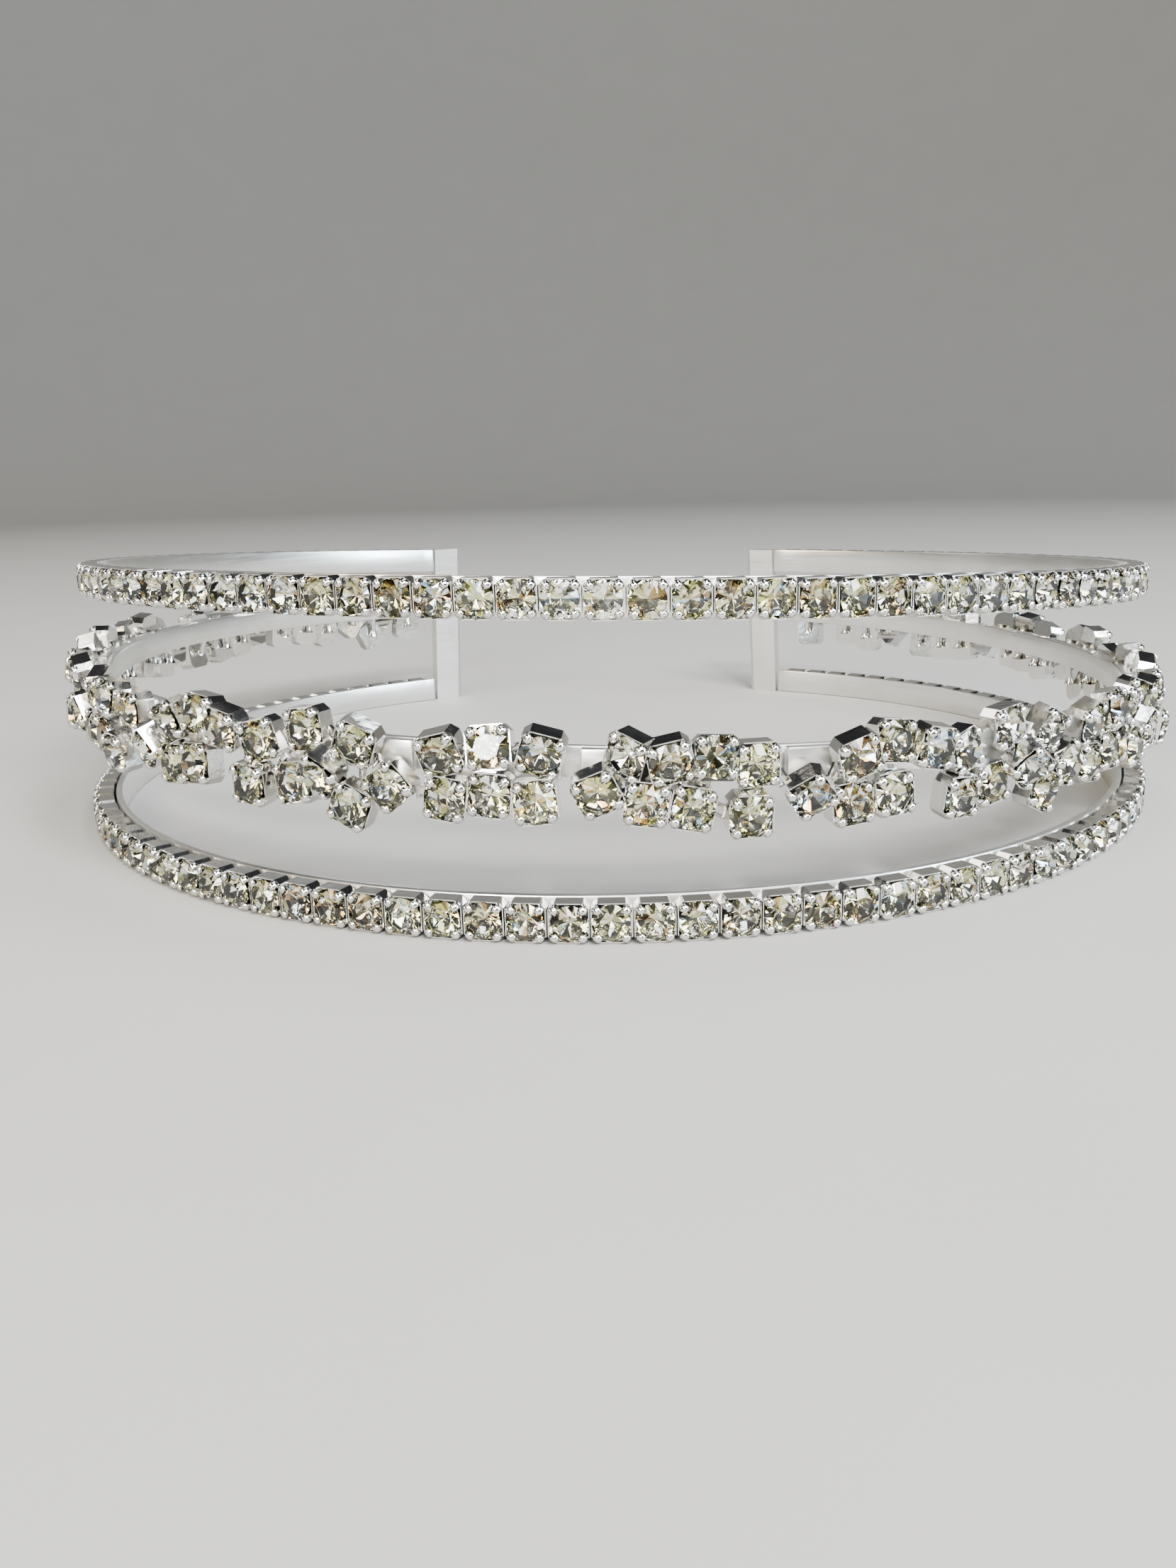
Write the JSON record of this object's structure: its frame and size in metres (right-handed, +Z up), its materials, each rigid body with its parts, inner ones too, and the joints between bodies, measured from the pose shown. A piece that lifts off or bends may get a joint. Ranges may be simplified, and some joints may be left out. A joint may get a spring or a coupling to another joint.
{
  "type": "cuff bracelet",
  "caption": "Open three-row crystal cuff bracelet: two straight rows of square claw settings, and a scattered row of turned settings between them.",
  "frame": {"origin": "middle of the cuff's footprint, on the surface that its bottom row stands on", "axes": "+Z up, square to the surface that the cuff stands on; -Y to the front of the cuff, opposite its opening; +X along the cuff's greatest width, to the right seen from the front"},
  "size_m": [0.0712, 0.0632, 0.0162],
  "materials": {
    "rhodium_plate": "satin",
    "crystal_setting": "polished"
  },
  "bodies": {
    "root": {"bottom_band": "rhodium_plate", "middle_band": "rhodium_plate", "top_band": "rhodium_plate", "left_end_bar": "rhodium_plate", "right_end_bar": "rhodium_plate", "bottom_settings_1": "crystal_setting", "bottom_settings_2": "crystal_setting", "bottom_settings_3": "crystal_setting", "bottom_settings_4": "crystal_setting", "bottom_settings_5": "crystal_setting", "bottom_settings_6": "crystal_setting", "bottom_settings_7": "crystal_setting", "bottom_settings_8": "crystal_setting", "bottom_settings_9": "crystal_setting", "bottom_settings_10": "crystal_setting", "top_settings_1": "crystal_setting", "top_settings_2": "crystal_setting", "top_settings_3": "crystal_setting", "top_settings_4": "crystal_setting", "top_settings_5": "crystal_setting", "top_settings_6": "crystal_setting", "top_settings_7": "crystal_setting", "top_settings_8": "crystal_setting", "top_settings_9": "crystal_setting", "top_settings_10": "crystal_setting", "middle_sprig_1": "crystal_setting", "middle_sprig_2": "crystal_setting", "middle_sprig_3": "crystal_setting", "middle_sprig_4": "crystal_setting", "middle_sprig_5": "crystal_setting", "middle_sprig_6": "crystal_setting", "middle_sprig_7": "crystal_setting", "middle_sprig_8": "crystal_setting", "middle_sprig_9": "crystal_setting", "middle_sprig_10": "crystal_setting", "middle_sprig_11": "crystal_setting", "middle_sprig_12": "crystal_setting", "middle_sprig_13": "crystal_setting", "middle_sprig_14": "crystal_setting", "middle_sprig_15": "crystal_setting", "middle_sprig_16": "crystal_setting", "middle_sprig_17": "crystal_setting", "middle_sprig_18": "crystal_setting", "middle_sprig_19": "crystal_setting", "middle_sprig_20": "crystal_setting"}
  },
  "joints": []
}
